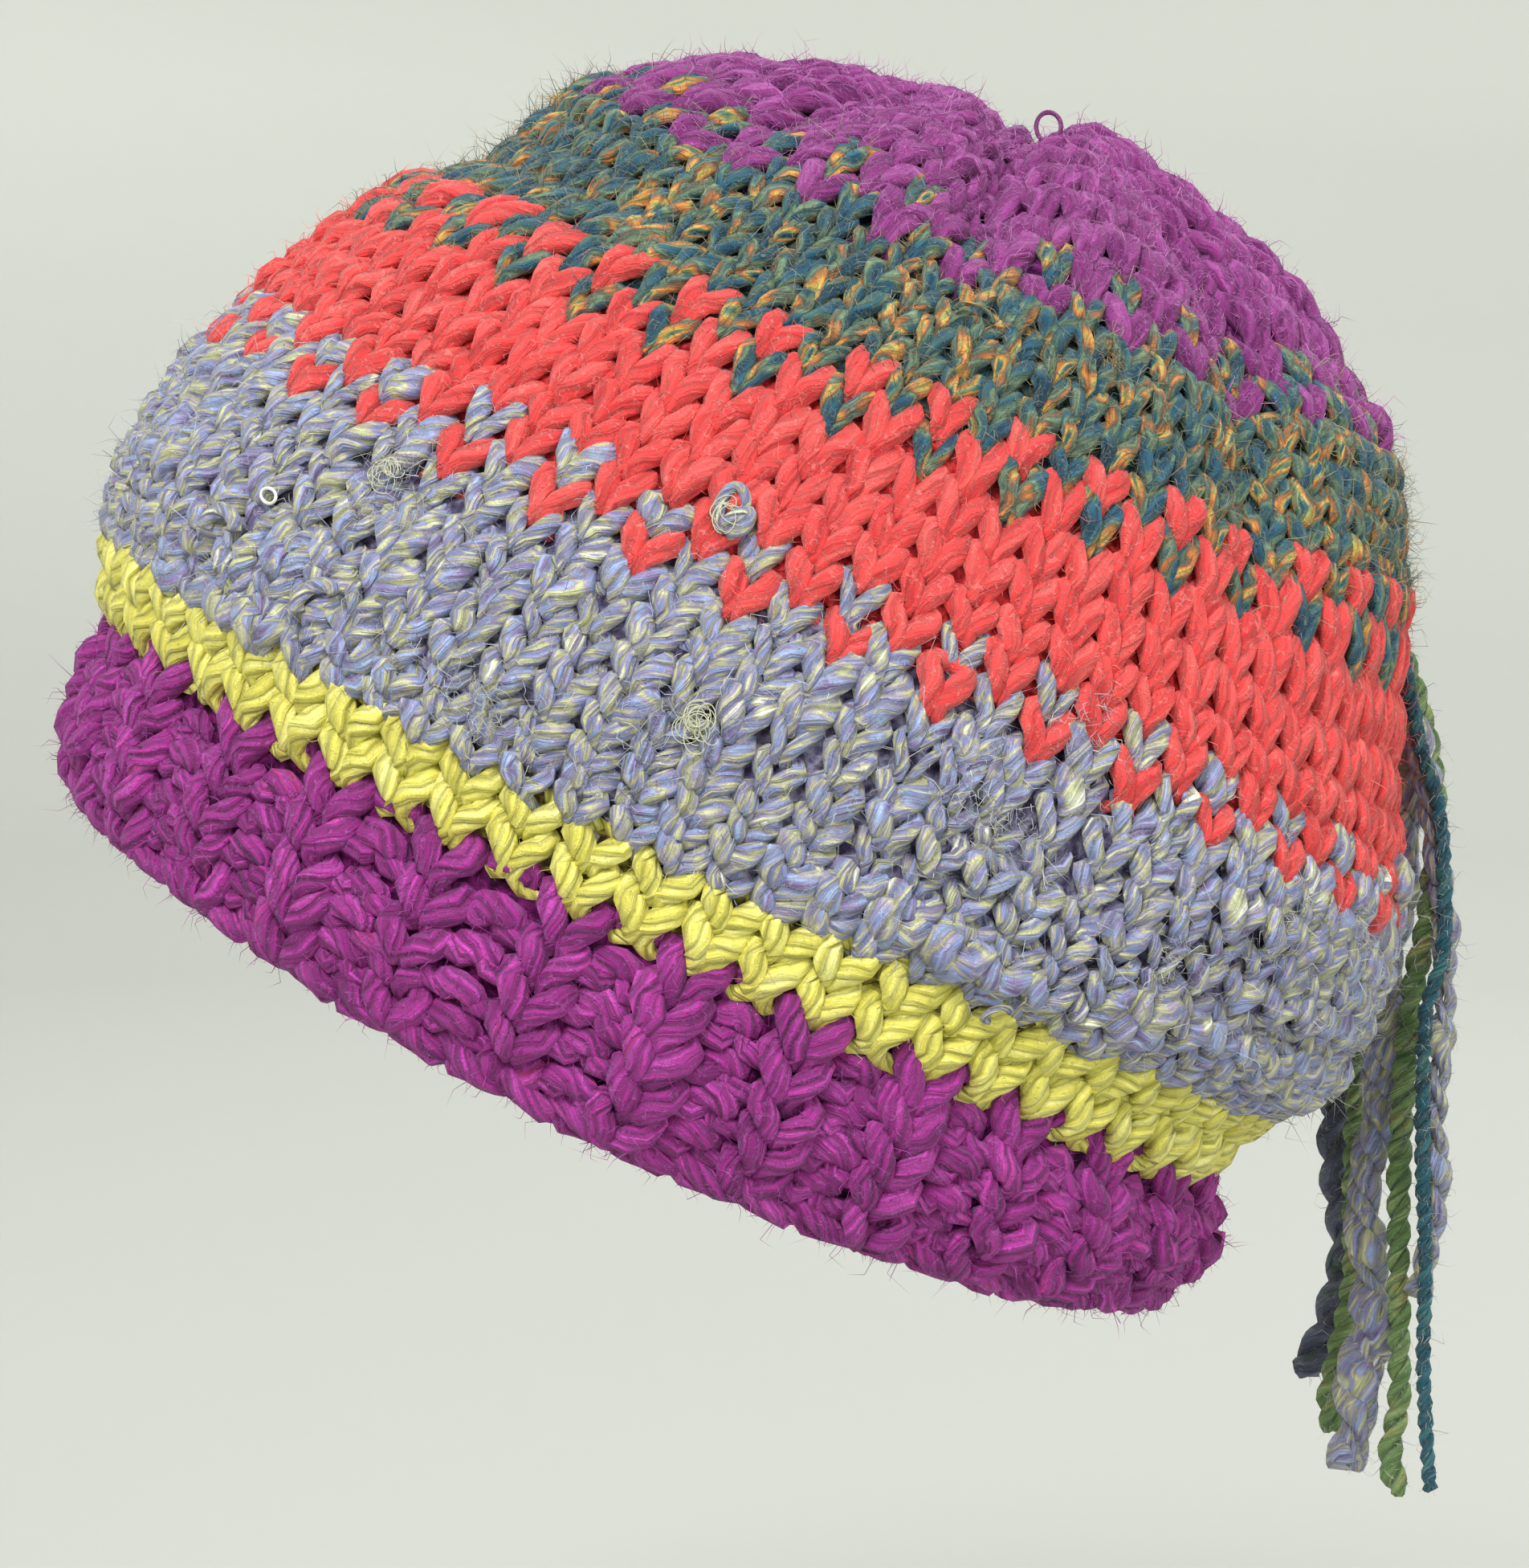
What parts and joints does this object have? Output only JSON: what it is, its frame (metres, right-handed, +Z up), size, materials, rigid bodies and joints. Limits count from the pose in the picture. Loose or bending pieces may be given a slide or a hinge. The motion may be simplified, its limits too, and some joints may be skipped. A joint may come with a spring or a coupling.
{
  "type": "knitted slouch beanie",
  "caption": "Hand-knitted slouch beanie in wide bands of coloured yarn, with a ribbed brim, a gathered crown and long yarn ends hanging behind.",
  "frame": {"origin": "middle of the opening, at the brim's lower edge, where the hat sits on a head", "axes": "+Z up as worn, -X towards the front, -Y towards the wearer's left; the hat's own axis leans back from +Z towards +X"},
  "size_m": [0.2434, 0.1786, 0.2539],
  "materials": {
    "brim_yarn": "matte, loosely plied purple wool",
    "lime_yarn": "satin, thick plied lime yarn",
    "blue_yarn": "slubby mixed lavender, blue and pale green yarn",
    "coral_yarn": "matte, plied coral wool",
    "teal_yarn": "fuzzy mixed teal, green and orange yarn",
    "crown_yarn": "fuzzy purple yarn",
    "tassel_yarn": "cut ends of the hat's own yarns"
  },
  "bodies": {
    "root": {"brim": "brim_yarn", "lime_band": "lime_yarn", "blue_body": "blue_yarn", "coral_band": "coral_yarn", "teal_band": "teal_yarn", "crown": "crown_yarn", "tassel": "tassel_yarn"}
  },
  "joints": []
}
